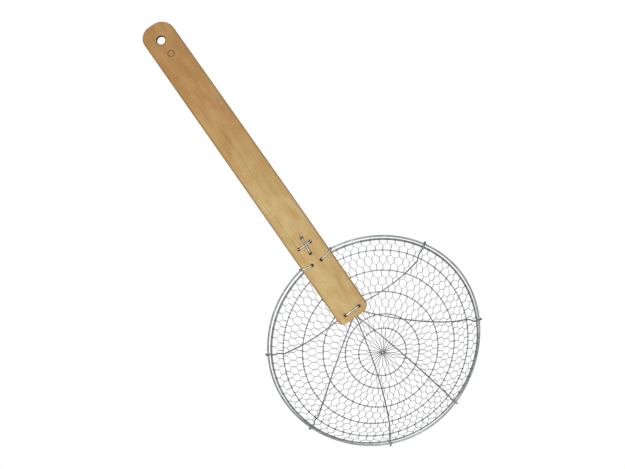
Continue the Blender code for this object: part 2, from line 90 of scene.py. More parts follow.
def ring_box(node, wire):
    """A ring's middle and the radius of its wire's centre line, from its CAD node's box."""
    low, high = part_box(node)
    return (low + high) / 2, (high.y - low.y - wire) / 2


RIM_MIDDLE, RIM_RADIUS = ring_box("rim_ring_outer", RIM_WIRE)
RIM_LOW, RIM_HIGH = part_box("rim_ring_outer")
BOWL_TILT = math.asin((RIM_HIGH.z - RIM_LOW.z - RIM_WIRE) / (2 * RIM_RADIUS))
BASKET = Matrix.Translation(RIM_MIDDLE) @ Matrix.Rotation(-BOWL_TILT, 4, "Y")
INNER_RIM_RADIUS = ring_box("rim_ring_inner", INNER_RIM_WIRE)[1]
RING_NAMES = ["net_ring_1", "net_ring_2", "net_ring_3", "net_ring_4", "net_ring_5"]
RING_RADII = [ring_box(name, NET_RING_WIRE)[1] for name in RING_NAMES]
HUB_LOW, HUB_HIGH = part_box("hub_knot")
BOWL_DEPTH = -(BASKET.inverted() @ ((HUB_LOW + HUB_HIGH) / 2)).z

# How the net rings came out of true: each one's shift along X and Y, how oval it is, and in which
# direction (degrees) it is long
RING_SHAPES = {
    "net_ring_1": (-1.1 * MM, 0.4 * MM, 0.3 * MM, -45),
    "net_ring_2": (-0.9 * MM, 0.6 * MM, 0.6 * MM, -50),
    "net_ring_3": (-1.5 * MM, 0.3 * MM, 1.0 * MM, -45),
    "net_ring_4": (-1.9 * MM, -0.2 * MM, 1.6 * MM, -50),
    "net_ring_5": (-2.5 * MM, -0.3 * MM, 1.5 * MM, -43),
}
# How the rim rings came out of true: how much wider each one's radius is all round, then how far it is
# off centre, oval and three-cornered, and the outer one four-cornered too. Each comes with a direction
# (degrees) in which it reaches furthest out.
OUTER_RIM_SHAPE = (-0.5 * MM, (0.9 * MM, 15), (0.9 * MM, -55), (0.8 * MM, -15), (0.4 * MM, -5))
INNER_RIM_SHAPE = (-0.5 * MM, (0.3 * MM, 45), (1.2 * MM, -65), (0.5 * MM, -10))
# How far the slat presses the outer rim ring down, and how squarely behind the bowl's middle (1 is
# straight behind) the dip starts and is deepest
RIM_DIP = 1.5 * MM
RIM_DIP_REACH = (0.75, 1)
# Between which heights, as shares of the inner rim ring's depth, the outer ring's shape takes over
RIM_TAKEOVER = (-0.7, -0.3)

# Netting: bands from the hub outwards, each with its number of columns round the bowl, and the shares
# of its width where its ties start and end. Ties are twisted pairs, joined by single slanting strands.
HUB_TIES = ((0.06, 0.56), (0.76, 1.0))
TWO_TIES = ((0.0, 0.38), (0.63, 1.0))
THREE_TIES = ((0.0, 0.25), (0.395, 0.62), (0.765, 1.0))
BANDS = {
    "net_band_hub": (24, HUB_TIES),
    "net_band_1": (34, TWO_TIES),
    "net_band_2": (46, THREE_TIES),
    "net_band_3": (58, THREE_TIES),
    "net_band_4": (72, THREE_TIES),
    "net_band_rim": (74, TWO_TIES),
}
TIE_JITTER = 0.45 * MM
# A tie's turns of twist and its steps: a band's first tie, a later, a middle and a long one
FIRST_TIE = (1, 7)
LATER_TIE = (1.5, 7)
MIDDLE_TIE = (1.5, 9)
LONG_TIE = (3, 20)
LONG_TIE_SHARE = 0.4
# How a strand's end is wound on a ring: its turns on one side and the other, where it starts in
# turns, its steps in a turn and its pitch in wires
WRAP_TURNS = {1: 0.9, -1: 0.45}
WRAP_START = 0.14
WRAP_STEPS = 9
WRAP_PITCH = 1.1
# The hub's coils: how many, the turns in each and the steps in it, and the first one's radius
HUB_COILS = 3
HUB_TURNS = 2.5
HUB_STEPS = 44
HUB_RADIUS = 1.1 * MM

# Rib wires: where each leg passes the widest net ring and where its hook sits, in degrees, and how far
# the leg bows to its left on the way out
RIB_LEGS = {
    "far_left": (-120.4, -118.0, 0.8 * MM),
    "left": (-72.8, -69.2, -5.0 * MM),
    "front_left": (-25.3, -24.6, 2.8 * MM),
    "front_right": (17.6, 16.1, 3.2 * MM),
    "right": (68.0, 63.6, -1.5 * MM),
    "far_right": (120.2, 117.6, -1.0 * MM),
}
RIB_RISE_MARGIN = 2 * MM
HOOK_INNER_TURN = 2.3 * MM
HOOK_OUTER_TURN = 2.6 * MM
RIB_CROSS_X = -56.3 * MM
RIB_CROSS_HALF_STRAIGHT = 15.4 * MM
RIB_SIDE_TURN = (-54.5 * MM, 3.6 * MM)
RIB_FRONT_MIDDLE_Y = -0.4 * MM
RIB_FRONT_HALF_FOLD = 1.0 * MM
RIB_FRONT_FOLD_X = (-62.4 * MM, -48 * MM)
RIB_FOLD_START_X = -36 * MM
RIB_FOLD_RUN = 8 * MM
# How many times a search by halving narrows its range, and how far below the slat one of them looks
HALVINGS = 30
DROP_REACH = 20 * MM

# Slat. It reaches from the rim to its tip, back to its bend, and on to the end of the grip. Its shift
# and turn are sideways on the rim, and its corners are the one on the right first.
SLAT_THICKNESS = 4.8 * MM
SLAT_TIP_WIDTH = 36.9 * MM
SLAT_GRIP_WIDTH = 36.2 * MM
TIP_REACH = 79.6 * MM
BEND_REACH = 66.4 * MM
GRIP_REACH = 239.7 * MM
LOWER_SLOPE = math.radians(37.5)
BEND_ANGLE = math.radians(25.8)
BEND_RADIUS = 55 * MM
SLAT_SHIFT = -1.1 * MM
SLAT_TURN = math.radians(-0.22)
TIP_CORNERS = (6 * MM, 9 * MM)
GRIP_CORNERS = (14 * MM, 16 * MM)
EDGE_ROUND = 1.1 * MM
SLAT_CROWN = 0.35 * MM
# The slat's grid of faces: how far apart its cuts are, its rows each side of the middle line, and its
# steps round the bend
GRID_X = 8 * MM
GRID_Y = 3 * MM
GRID_ROWS = 5
BEND_STEPS = 16
HANGING_HOLE = 9 * MM
HANGING_HOLE_INSET = 19.4 * MM
HANGING_HOLE_Y = -0.7 * MM
HANGING_HOLE_LIP = 0.5 * MM
BURN_INSET = 18 * MM
BURN_RADIUS = 3.3 * MM

# Stitches: where their holes are on the slat, the one on the right or nearer the grip first
STITCH_HOLE = 3.0 * MM
STITCH_HOLE_LIP = 0.25 * MM
STITCH_PULL = 0.45 * MM
LONG_STITCH = ((-26.3 * MM, 0.8 * MM), (-7.2 * MM, -0.8 * MM))
SHORT_STITCH = ((-17.7 * MM, -8.5 * MM), (-17.7 * MM, 6.0 * MM))
CROSS_STITCH_TAIL = 3 * MM
STITCH_BEND = 1.4 * MM
RIM_STITCHES = ((5.0 * MM, -6.7 * MM), (5.5 * MM, 4.9 * MM))
TIP_STITCH_INSET = 8.6 * MM
TIP_STITCH_Y = (-8.0 * MM, 9.6 * MM)

# Worked out from the sizes above
STITCH_RADIUS = STITCH_WIRE / 2
RIB_RADIUS = RIB_WIRE / 2
STRAND_RADIUS = STRAND_WIRE / 2
RIM_SAGITTA = RIM_RADIUS - math.sqrt(RIM_RADIUS**2 - (SLAT_TIP_WIDTH / 2 - SLAT_SHIFT) ** 2)
RIM_UNDER_EDGE = RIM_SAGITTA * math.sin(LOWER_SLOPE)
SLAT_OFFSET = RIM_WIRE / 2 + RIM_UNDER_EDGE + GAP + SLAT_THICKNESS / 2
RIB_LAYER = NET_RING_WIRE / 2 + GAP + RIB_RADIUS
FOLD_LAYER = RIB_LAYER + RIB_WIRE + GAP
STITCH_LAYER = FOLD_LAYER + RIB_RADIUS + GAP + STITCH_RADIUS
TOP_RUN = SLAT_THICKNESS / 2 + STITCH_RADIUS + SLAT_CROWN
TIP_STITCH_X = TIP_REACH - TIP_STITCH_INSET
GRIP_END_X = -(BEND_REACH + GRIP_REACH)
BEND_LENGTH = BEND_RADIUS * BEND_ANGLE
BEND_START_X = -BEND_REACH + BEND_LENGTH / 2


# ---------------------------------------------------------------- paths and swept wires


def arc(centre, radius, start, end, steps):
    """Points on an arc in a plane, from one angle to another, both ends included."""
    angles = np.linspace(start, end, steps + 1)
    return [(centre[0] + radius * math.cos(a), centre[1] + radius * math.sin(a)) for a in angles]


def rounded_path(corners, radius, steps=6, cyclic=False):
    """A path through corners, each rounded as far as its neighbours leave room."""
    corners = [Vector(c) for c in corners]
    count = len(corners)
    path = []
    for i, corner in enumerate(corners):
        if not cyclic and i in (0, count - 1):
            path.append(corner)
            continue
        before = corners[i - 1] - corner
        after = corners[(i + 1) % count] - corner
        reach = min(radius, 0.45 * before.length, 0.45 * after.length)
        start = corner + before.normalized() * reach
        end = corner + after.normalized() * reach
        for step in range(steps + 1):
            t = step / steps
            path.append(start * (1 - t) ** 2 + corner * 2 * t * (1 - t) + end * t * t)
    return path


def smoothed(path, parts=4):
    """A Catmull-Rom curve through a path's points."""
    p = np.array([tuple(v) for v in path])
    p = np.vstack([2 * p[0] - p[1], p, 2 * p[-1] - p[-2]])
    t = np.linspace(0, 1, parts, endpoint=False)[None, :, None]
    a, b, c, d = (p[i : len(p) - 3 + i, None, :] for i in range(4))
    squared = (2 * a - 5 * b + 4 * c - d) * t**2
    cubed = (3 * b - a - 3 * c + d) * t**3
    curve = (0.5 * (2 * b + (c - a) * t + squared + cubed)).reshape(-1, 3)
    return np.vstack([curve, p[-2]])


def unit(rows):
    return rows / np.linalg.norm(rows, axis=-1, keepdims=True)


def tangents_of(path, closed):
    if closed:
        return unit(np.roll(path, -1, axis=0) - np.roll(path, 1, axis=0))
    ahead = np.vstack([path[1:], 2 * path[-1] - path[-2]])
    behind = np.vstack([2 * path[0] - path[1], path[:-1]])
    return unit(ahead - behind)


def sides_of(path, closed):
    """Two crosswise unit vectors at each point of a path, turned as little as possible along it."""
    tangents = tangents_of(path, closed)
    side = np.cross(tangents[0], (0.31, 0.52, 0.79))
    sides = np.empty_like(path)
    for i, tangent in enumerate(tangents):
        side = side - tangent * (side @ tangent)
        side = side / math.sqrt(side @ side)
        sides[i] = side
    ups = np.cross(tangents, sides)
    if closed:
        end = sides[-1] - tangents[0] * (sides[-1] @ tangents[0])
        slip = math.atan2(end @ ups[0], end @ sides[0])
        back = -slip * np.arange(len(path))[:, None] / len(path)
        sides, ups = sides * np.cos(back) + ups * np.sin(back), ups * np.cos(back) - sides * np.sin(back)
    return sides, ups


class Strands:
    """Round wires, swept along paths into one mesh."""

    def __init__(self):
        self.points = []
        self.faces = []
        self.count = 0

    def add(self, path, radius, sides=8, closed=False):
        path = np.array([tuple(p) for p in path])
        across, up = sides_of(path, closed)
        turn = np.arange(sides) * TURN / sides
        ring = across[:, None, :] * np.cos(turn)[:, None] + up[:, None, :] * np.sin(turn)[:, None]
        self.points.append((path[:, None, :] + radius * ring).reshape(-1, 3))
        steps = len(path) if closed else len(path) - 1
        here = np.arange(steps)[:, None] * sides
        ahead = (np.arange(1, steps + 1)[:, None] % len(path)) * sides
        j = np.arange(sides)[None, :]
        k = (j + 1) % sides
        quads = np.stack([here + j, here + k, ahead + k, ahead + j], axis=-1).reshape(-1, 4)
        self.faces += (quads + self.count).tolist()
        if not closed:
            last = self.count + (len(path) - 1) * sides
            self.faces.append([self.count + n for n in reversed(range(sides))])
            self.faces.append([last + n for n in range(sides)])
        self.count += len(path) * sides

    def piece(self, name, material, slot, nodes, to_row=BASKET):
        matrix = np.array(to_row)
        points = np.vstack(self.points)
        if to_row is BASKET:
            points = out_of_true(points)
        points = points @ matrix[:3, :3].T + matrix[:3, 3]
        mesh = bpy.data.meshes.new(name)
        mesh.from_pydata(points.tolist(), [], self.faces)
        mesh.shade_smooth()
        mesh.set_sharp_from_angle(angle=math.radians(60))
        return add_piece(name, mesh, material, nodes)


def add_piece(name, mesh, material, nodes):
    piece = bpy.data.objects.new(name, mesh)
    bpy.context.scene.collection.objects.link(piece)
    mesh.materials.append(material)
    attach(piece, "root")
    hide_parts(*nodes)
    return piece


# ---------------------------------------------------------------- bowl surface


def bowl_depth(radius):
    return BOWL_DEPTH * (1 - (radius / PROFILE_RADIUS) ** 2) ** PROFILE_POWER


def bowl_slope(radius):
    inside = 1 - (radius / PROFILE_RADIUS) ** 2
    return BOWL_DEPTH * PROFILE_POWER * 2 * radius / PROFILE_RADIUS**2 * inside ** (PROFILE_POWER - 1)


def bowl_frame(radius, angle):
    """Points on the netting's surface with unit vectors up the wall, round the bowl and off the surface."""
    slope = bowl_slope(radius)
    length = np.hypot(1, slope)
    cos, sin, zero = np.cos(angle), np.sin(angle), np.zeros_like(angle)
    place = np.stack([radius * cos, radius * sin, -bowl_depth(radius)], axis=-1)
    out = np.stack([cos / length, sin / length, slope / length], axis=-1)
    around = np.stack([-sin, cos, zero], axis=-1)
    up = np.stack([-cos * slope / length, -sin * slope / length, 1 / length], axis=-1)
    return place, out, around, up


def bowl_point(radius, angle, offset=0.0):
    place, _, _, up = bowl_frame(np.float64(radius), np.float64(angle))
    return Vector(place + up * offset)


def bowl_offset(point):
    """How far a point is above the netting's surface, close to the surface."""
    radius = math.hypot(point.x, point.y)
    return (point.z + bowl_depth(radius)) / math.hypot(1, bowl_slope(radius))


def radius_at(share, inner, outer):
    """The radius at a share of the way up the wall from one ring to the next."""
    radii = np.linspace(inner, outer, 60)
    run = np.hypot(np.diff(radii), np.diff(bowl_depth(radii)))
    length = np.concatenate([[0], np.cumsum(run)])
    return np.interp(share, length / length[-1], radii)


def rim_stray(shape, angle):
    """How far out a rim ring of a given shape strays at an angle."""
    wider, *waves = shape
    stray = wider
    for corners, (reach, direction) in enumerate(waves, start=1):
        stray = stray + reach * np.cos(corners * (angle - math.radians(direction)))
    return stray


def out_of_true(points):
    """Moves basket points with the nearest rings, which are a little oval, bent and off centre."""
    radii = [0.0] + RING_RADII + [INNER_RIM_RADIUS]
    shapes = [RING_SHAPES["net_ring_1"][:2] + (0.0, 0.0)] + [RING_SHAPES[name] for name in RING_NAMES]
    shapes = np.array(shapes + [(0.0,) * 4])
    long_way = 2 * np.radians(shapes[:, 3])
    ovals = (shapes[:, 2] * np.cos(long_way), shapes[:, 2] * np.sin(long_way))
    radius = np.hypot(points[:, 0], points[:, 1])
    angle = np.arctan2(points[:, 1], points[:, 0])
    settings = (shapes[:, 0], shapes[:, 1], *ovals)
    shift_x, shift_y, oval_x, oval_y = (np.interp(radius, radii, setting) for setting in settings)
    stretch = oval_x * np.cos(2 * angle) + oval_y * np.sin(2 * angle)
    rim_share = np.interp(radius, radii[-2:], (0, 1))
    height = points[:, 2] / bowl_depth(INNER_RIM_RADIUS)
    top_share = rim_share * np.interp(height, RIM_TAKEOVER, (0, 1))
    stretch += (rim_share - top_share) * rim_stray(INNER_RIM_SHAPE, angle)
    stretch += top_share * rim_stray(OUTER_RIM_SHAPE, angle)
    moved = points.copy()
    moved[:, 0] += shift_x + stretch * np.cos(angle)
    moved[:, 1] += shift_y + stretch * np.sin(angle)
    moved[:, 2] -= top_share * RIM_DIP * np.interp(-np.cos(angle), RIM_DIP_REACH, (0, 1))
    return moved


def before_straying(place):
    """Where a place over the basket was before the rings strayed."""
    moved = out_of_true(np.array([(place.x, place.y, -BOWL_DEPTH)]))[0]
    return Vector((2 * place.x - moved[0], 2 * place.y - moved[1]))


# ---------------------------------------------------------------- rings


def wavy_ring(radius, height, wave, rng, count=240):
    """A hand-bent ring: a circle that wanders a little in and out, and up and down."""
    angle = np.arange(count) * TURN / count
    out = np.zeros(count)
    lift = np.zeros(count)
    for waves in (2, 3, 5, 7, 11):
        out += wave / waves * math.sqrt(2) * np.sin(waves * angle + rng.uniform(0, TURN))
        lift += wave / waves * np.sin(waves * angle + rng.uniform(0, TURN))
    r = radius + out
    return np.stack([r * np.cos(angle), r * np.sin(angle), height + lift], axis=-1)


def add_rim_rings(rim_material, wire_material):
    angle = np.arange(RIM_STEPS) * TURN / RIM_STEPS
    circle = np.stack([RIM_RADIUS * np.cos(angle), RIM_RADIUS * np.sin(angle), 0 * angle], axis=-1)
    outer = Strands()
    outer.add(circle, RIM_WIRE / 2, sides=20, closed=True)
    outer.piece("rim_ring_outer_wire", rim_material, "galvanised_wire", ["rim_ring_outer"])
    inner = Strands()
    core, out, _, up = bowl_frame(np.full(RIM_STEPS, INNER_RIM_RADIUS), angle)
    for side in (-1, 1):
        wander = SELVAGE_WANDER * np.sin(angle * SELVAGE_WAVES + side)
        spread = (side * SELVAGE_SPREAD + wander)[:, None]
        inner.add(core + out * spread + up * wander[:, None], SELVAGE_WIRE / 2, sides=10, closed=True)
    inner.piece("rim_ring_inner_pair", wire_material, "galvanised_wire", ["rim_ring_inner"])


def add_net_rings(wire_material):
    rng = np.random.default_rng(23)
    for name, radius in zip(RING_NAMES, RING_RADII, strict=True):
        ring = Strands()
        path = wavy_ring(radius, -bowl_depth(radius), RING_WAVE, rng)
        ring.add(path, NET_RING_WIRE / 2, sides=10, closed=True)
        ring.piece(name + "_wire", wire_material, "galvanised_wire", [name])


# ---------------------------------------------------------------- netting


def wrap_round_ring(radius, angle, towards, side, turns, core):
    """A strand's end wound round a ring's width and height, from its free end to where it leaves."""
    count = max(round(turns * WRAP_STEPS), 3)
    wound = np.linspace(WRAP_START, WRAP_START + turns, count) * TURN
    width, height = (size / 2 + STRAND_RADIUS for size in core)
    place, out, around, up = bowl_frame(np.float64(radius), np.float64(angle))
    drift = side * (STRAND_RADIUS + (wound - wound[0]) / TURN * STRAND_WIRE * WRAP_PITCH)
    path = place + towards * width * np.cos(wound)[:, None] * out + height * np.sin(wound)[:, None] * up
    return (path + drift[:, None] * around)[::-1]


def strand_path(column, side, inner, outer, columns, ties, jitter, cores):
    """One strand of a band: twisted with a neighbour in each tie, slanting alone between the ties."""
    shares, angles, swings, lifts = [], [], [], []
    step = TURN / columns
    for row, (start, end) in enumerate(ties):
        turns, steps = LATER_TIE if row else FIRST_TIE
        if len(ties) == 3 and row == 1:
            turns, steps = MIDDLE_TIE
        if end - start > LONG_TIE_SHARE:
            turns, steps = LONG_TIE
        place = column + side * row / 2
        index = math.floor(place) % columns
        slide, shift = jitter[row, index]
        phase = np.linspace(math.pi * (3 - 2 * turns), 3 * math.pi, steps)
        share = np.linspace(start, end, steps)
        on_ring = np.isclose(share, 0) | np.isclose(share, 1)
        shares.append(np.where(on_ring, share, share + slide))
        angles.append(np.full(steps, place * step) + shift)
        swings.append(-side * STRAND_RADIUS * np.cos(phase))
        lifts.append(side * STRAND_RADIUS * np.sin(phase))
    radius = radius_at(np.concatenate(shares), inner, outer)
    place, _, around, up = bowl_frame(radius, np.concatenate(angles))
    path = place + around * np.concatenate(swings)[:, None] + up * np.concatenate(lifts)[:, None]
    turns = WRAP_TURNS[side]
    pieces = [path]
    if cores[0]:
        pieces[0] = path[1:]
        pieces.insert(0, wrap_round_ring(inner, angles[0][0], 1, side, turns, cores[0]))
    if cores[1]:
        pieces[-1] = pieces[-1][:-1]
        pieces.append(wrap_round_ring(outer, angles[-1][-1], -1, side, turns, cores[1])[::-1])
    return np.vstack(pieces)


def add_netting(strand_material):
    rng = np.random.default_rng(37)
    edges = [0.0] + RING_RADII + [INNER_RIM_RADIUS]
    pair = (2 * SELVAGE_SPREAD + SELVAGE_WIRE, SELVAGE_WIRE)
    cores = [None] + [(NET_RING_WIRE, NET_RING_WIRE)] * 5 + [pair]
    for i, (name, (columns, ties)) in enumerate(BANDS.items()):
        inner, outer = edges[i], edges[i + 1]
        middle = (inner + outer) / 2
        jitter = rng.normal(0, TIE_JITTER, (len(ties), columns, 2))
        jitter[..., 0] /= outer - inner
        jitter[..., 1] /= middle
        first = rng.uniform(0, 1)
        band = Strands()
        for column in range(columns):
            for side in (-1, 1):
                place = column + first
                path = strand_path(place, side, inner, outer, columns, ties, jitter, cores[i : i + 2])
                band.add(path, STRAND_RADIUS, sides=6)
        band.piece(name + "_strands", strand_material, "netting", [name])


def add_hub(strand_material):
    """The strands' inner ends, wound round one another in the middle of the bowl."""
    rng = np.random.default_rng(41)
    hub = Strands()
    for coil in range(HUB_COILS):
        wound = np.linspace(0, HUB_TURNS * TURN, HUB_STEPS) + rng.uniform(0, TURN)
        reach = HUB_RADIUS + (0.45 * coil + 0.25 * np.sin(wound * 0.7 + coil)) * MM
        lift = -BOWL_DEPTH + (0.25 * np.sin(wound * 1.4 + 2 * coil) + 0.3 * coil - 0.2) * MM
        off = (0.25 * coil * MM, -0.2 * coil * MM)
        path = np.stack([off[0] + reach * np.cos(wound), off[1] + reach * np.sin(wound), lift], axis=-1)
        hub.add(path, STRAND_RADIUS, sides=8)
    hub.piece("hub_knot_coils", strand_material, "netting", ["hub_knot"])


# ---------------------------------------------------------------- rib wires


def hook_points(angle):
    """The end of a rib: over the inner rim ring, under the outer one, round it and back over its top."""
    inner = Vector((INNER_RIM_RADIUS, -bowl_depth(INNER_RIM_RADIUS)))
    outer = Vector((RIM_RADIUS, 0))
    across = outer - inner
    towards = math.atan2(across.y, across.x)
    lean = math.acos((HOOK_INNER_TURN + HOOK_OUTER_TURN) / across.length)
    profile = arc(inner, HOOK_INNER_TURN, math.radians(190), towards + lean, 6)
    profile += arc(outer, HOOK_OUTER_TURN, towards + lean - math.pi, math.radians(140), 12)
    return [Vector((r * math.cos(angle), r * math.sin(angle), z)) for r, z in profile]


def rib_offset(x, radius, folded):
    """Where a rib runs on the wall: under the netting, and over it from the widest ring outwards."""
    ring_4, ring_5 = RING_RADII[3:]
    rise = (radius - ring_4 - RIB_RISE_MARGIN) / (ring_5 - ring_4 - 2 * RIB_RISE_MARGIN)
    rise = min(max(rise, 0), 1)
    under = -RIB_LAYER
    if folded:
        fold = min(max((RIB_FOLD_START_X - x) / RIB_FOLD_RUN, 0), 1)
        under = -RIB_LAYER + (RIB_LAYER - FOLD_LAYER) * fold
    return under + (RIB_LAYER - under) * rise


def bowed(start, end, bow, share):
    """A point part of the way along a line that bows to its left."""
    across = Vector((start.y - end.y, end.x - start.x)).normalized()
    return start.lerp(end, share) + across * bow * 4 * share * (1 - share)


def share_at_radius(start, end, bow, radius):
    """How far along a bowed line, from 0 to 1, it gets out to a radius."""
    low, high = 0.5, 1.0
    for _ in range(HALVINGS):
        share = (low + high) / 2
        if bowed(start, end, bow, share).length < radius:
            low = share
        else:
            high = share
    return high


def rib_leg(start, leg, folded=False, steps=12):
    """A rib's leg, from a point under the slat's tip to the hook on the rim."""
    ring_angle, hook_angle = (math.radians(a) for a in RIB_LEGS[leg][:2])
    bow = RIB_LEGS[leg][2]
    ring_4, ring_5 = RING_RADII[3:]
    start = Vector(start)
    end = Vector((ring_5 * math.cos(ring_angle), ring_5 * math.sin(ring_angle)))
    rise_start = share_at_radius(start, end, bow, ring_4 + RIB_RISE_MARGIN)
    rise_end = share_at_radius(start, end, bow, ring_5 - RIB_RISE_MARGIN)
    points = []
    for share in [rise_start * i / steps for i in range(steps + 1)] + [rise_end, 1]:
        place = before_straying(bowed(start, end, bow, share))
        offset = rib_offset(place.x, place.length, folded)
        points.append(bowl_point(place.length, math.atan2(place.y, place.x), offset))
    wall_radius = (ring_5 + INNER_RIM_RADIUS) / 2
    points.append(bowl_point(wall_radius, (ring_angle + hook_angle) / 2, RIB_LAYER))
    return points + hook_points(hook_angle)


def under_netting(x, y, layer):
    place = before_straying(Vector((x, y)))
    return bowl_point(place.length, math.atan2(place.y, place.x), -layer)


def rib_cross_points():
    half = RIB_CROSS_HALF_STRAIGHT
    left = rib_leg((RIB_CROSS_X, -half), "far_left")
    right = rib_leg((RIB_CROSS_X, half), "far_right")
    return left[::-1] + [under_netting(RIB_CROSS_X, 0, RIB_LAYER)] + right


def rib_side_points():
    left = rib_leg(RIB_SIDE_TURN, "left")
    right = rib_leg(RIB_SIDE_TURN, "right")
    return left[::-1] + right[1:]


def rib_front_points():
    low, high = RIB_FRONT_FOLD_X
    left_y = RIB_FRONT_MIDDLE_Y - RIB_FRONT_HALF_FOLD
    right_y = RIB_FRONT_MIDDLE_Y + RIB_FRONT_HALF_FOLD
    left = rib_leg((high, left_y), "front_left", folded=True)
    right = rib_leg((high, right_y), "front_right", folded=True)
    turn = arc((low, RIB_FRONT_MIDDLE_Y), RIB_FRONT_HALF_FOLD, math.radians(270), math.radians(90), 4)
    fold = [under_netting(x, y, FOLD_LAYER) for x, y in turn]
    return left[::-1] + fold + right


def add_ribs(wire_material):
    paths = {
        "rib_wire_cross": rib_cross_points(),
        "rib_wire_side": rib_side_points(),
        "rib_wire_front": rib_front_points(),
    }
    for name, points in paths.items():
        rib = Strands()
        rib.add(smoothed(points), RIB_RADIUS, sides=12)
        rib.piece(name + "_smooth", wire_material, "galvanised_wire", [name])


# ---------------------------------------------------------------- slat


def slat_to_basket():
    normal = Vector((math.sin(LOWER_SLOPE), 0, math.cos(LOWER_SLOPE)))
    place = Vector((-RIM_RADIUS, SLAT_SHIFT, 0)) + normal * SLAT_OFFSET
    turn = Matrix.Rotation(LOWER_SLOPE, 4, "Y") @ Matrix.Rotation(SLAT_TURN, 4, "Z")
    return Matrix.Translation(place) @ turn


SLAT = BASKET @ slat_to_basket()


def slat_place(x, y, z):
    """Takes a point of the straight slat to its place on the bent one."""
    beyond = BEND_START_X - x
    if beyond <= 0:
        return Vector((x, y, z))
    angle = min(beyond / BEND_RADIUS, BEND_ANGLE)
    straight = max(beyond - BEND_LENGTH, 0)
    out = BEND_START_X - (BEND_RADIUS + z) * math.sin(angle) - straight * math.cos(angle)
    up = -BEND_RADIUS + (BEND_RADIUS + z) * math.cos(angle) - straight * math.sin(angle)
    return Vector((out, y, up))


def corner(end_x, inwards, side_y, radius, start):
    """A rounded corner of the slat's outline. Inwards is the way along X from the end to the slat."""
    middle = (end_x + inwards * radius, side_y - math.copysign(radius, side_y))
    return arc(middle, radius, start, start + math.pi / 2, 12)


def slat_outline():
    tip_y = SLAT_TIP_WIDTH / 2
    grip_y = SLAT_GRIP_WIDTH / 2
    outline = corner(TIP_REACH, -1, -tip_y, TIP_CORNERS[0], -math.pi / 2)
    outline += corner(TIP_REACH, -1, tip_y, TIP_CORNERS[1], 0)
    outline += corner(GRIP_END_X, 1, grip_y, GRIP_CORNERS[1], math.pi / 2)
    outline += corner(GRIP_END_X, 1, -grip_y, GRIP_CORNERS[0], math.pi)
    return outline


def evaluated_mesh(obj):
    """The mesh that an object shows, with its seams welded. The object itself is removed."""
    bpy.context.view_layer.update()
    mesh = bpy.data.meshes.new_from_object(obj.evaluated_get(bpy.context.evaluated_depsgraph_get()))
    bpy.data.objects.remove(obj, do_unlink=True)
    shape = bmesh.new()
    shape.from_mesh(mesh)
    bmesh.ops.remove_doubles(shape, verts=shape.verts, dist=1e-6)
    bmesh.ops.recalc_face_normals(shape, faces=shape.faces)
    shape.to_mesh(mesh)
    shape.free()
    return mesh


def flat_slat():
    outline = slat_outline()
    curve = bpy.data.curves.new("slat_outline", "CURVE")
    curve.dimensions = "2D"
    curve.fill_mode = "BOTH"
    curve.extrude = SLAT_THICKNESS / 2 - EDGE_ROUND
    curve.bevel_depth = EDGE_ROUND
    curve.bevel_resolution = 4
    curve.offset = -EDGE_ROUND
    spline = curve.splines.new("POLY")
    spline.points.add(len(outline) - 1)
    spline.use_cyclic_u = True
    for point, (x, y) in zip(spline.points, outline, strict=True):
        point.co = (x, y, 0, 1)
    obj = bpy.data.objects.new("slat_flat", curve)
    bpy.context.scene.collection.objects.link(obj)
    return evaluated_mesh(obj)


def drill_mesh(x, y, radius, lip, sides):
    """A turned cutter for one hole, flared at both faces so that the hole's lips are soft."""
    half = SLAT_THICKNESS / 2
    profile = [(radius + 2 * lip, half + 2 * lip), (radius + lip, half + 0.02 * MM)]
    for a in (0.5, 1.0, math.pi / 2):
        profile.append((radius + lip * (1 - math.sin(a)), half - lip * (1 - math.cos(a))))
    profile += [(r, -z) for r, z in reversed(profile)]
    shape = bmesh.new()
    rows = []
    for r, z in profile:
        turn = [TURN * i / sides for i in range(sides)]
        rows.append([shape.verts.new((x + r * math.cos(a), y + r * math.sin(a), z)) for a in turn])
    for upper, lower in zip(rows, rows[1:], strict=False):
        for i in range(sides):
            n = (i + 1) % sides
            shape.faces.new((upper[i], lower[i], lower[n], upper[n]))
    shape.faces.new(rows[0])
    shape.faces.new(rows[-1])
    bmesh.ops.recalc_face_normals(shape, faces=shape.faces)
    mesh = bpy.data.meshes.new("drill")
    shape.to_mesh(mesh)
    shape.free()
    return mesh


def slat_holes():
    """Every hole in the slat: place, radius, lip and number of sides."""
    places = [*LONG_STITCH, *SHORT_STITCH, *RIM_STITCHES, *((TIP_STITCH_X, y) for y in TIP_STITCH_Y)]
    holes = [(x, y, STITCH_HOLE / 2, STITCH_HOLE_LIP, 20) for x, y in places]
    hanging_x = GRIP_END_X + HANGING_HOLE_INSET
    return holes + [(hanging_x, HANGING_HOLE_Y, HANGING_HOLE / 2, HANGING_HOLE_LIP, 48)]


def drilled(mesh):
    slat = bpy.data.objects.new("slat_drilled", mesh)
    bpy.context.scene.collection.objects.link(slat)
    drills = []
    for hole in slat_holes():
        drill = bpy.data.objects.new("drill", drill_mesh(*hole))
        bpy.context.scene.collection.objects.link(drill)
        cut = slat.modifiers.new("hole", "BOOLEAN")
        cut.object = drill
        drills.append(drill)
    result = evaluated_mesh(slat)
    for drill in drills:
        bpy.data.objects.remove(drill, do_unlink=True)
    return result


def cut_across(shape, x=None, y=None):
    place = (x or 0, y or 0, 0)
    normal = (1, 0, 0) if y is None else (0, 1, 0)
    everything = shape.verts[:] + shape.edges[:] + shape.faces[:]
    bmesh.ops.bisect_plane(shape, geom=everything, dist=1e-7, plane_co=place, plane_no=normal)


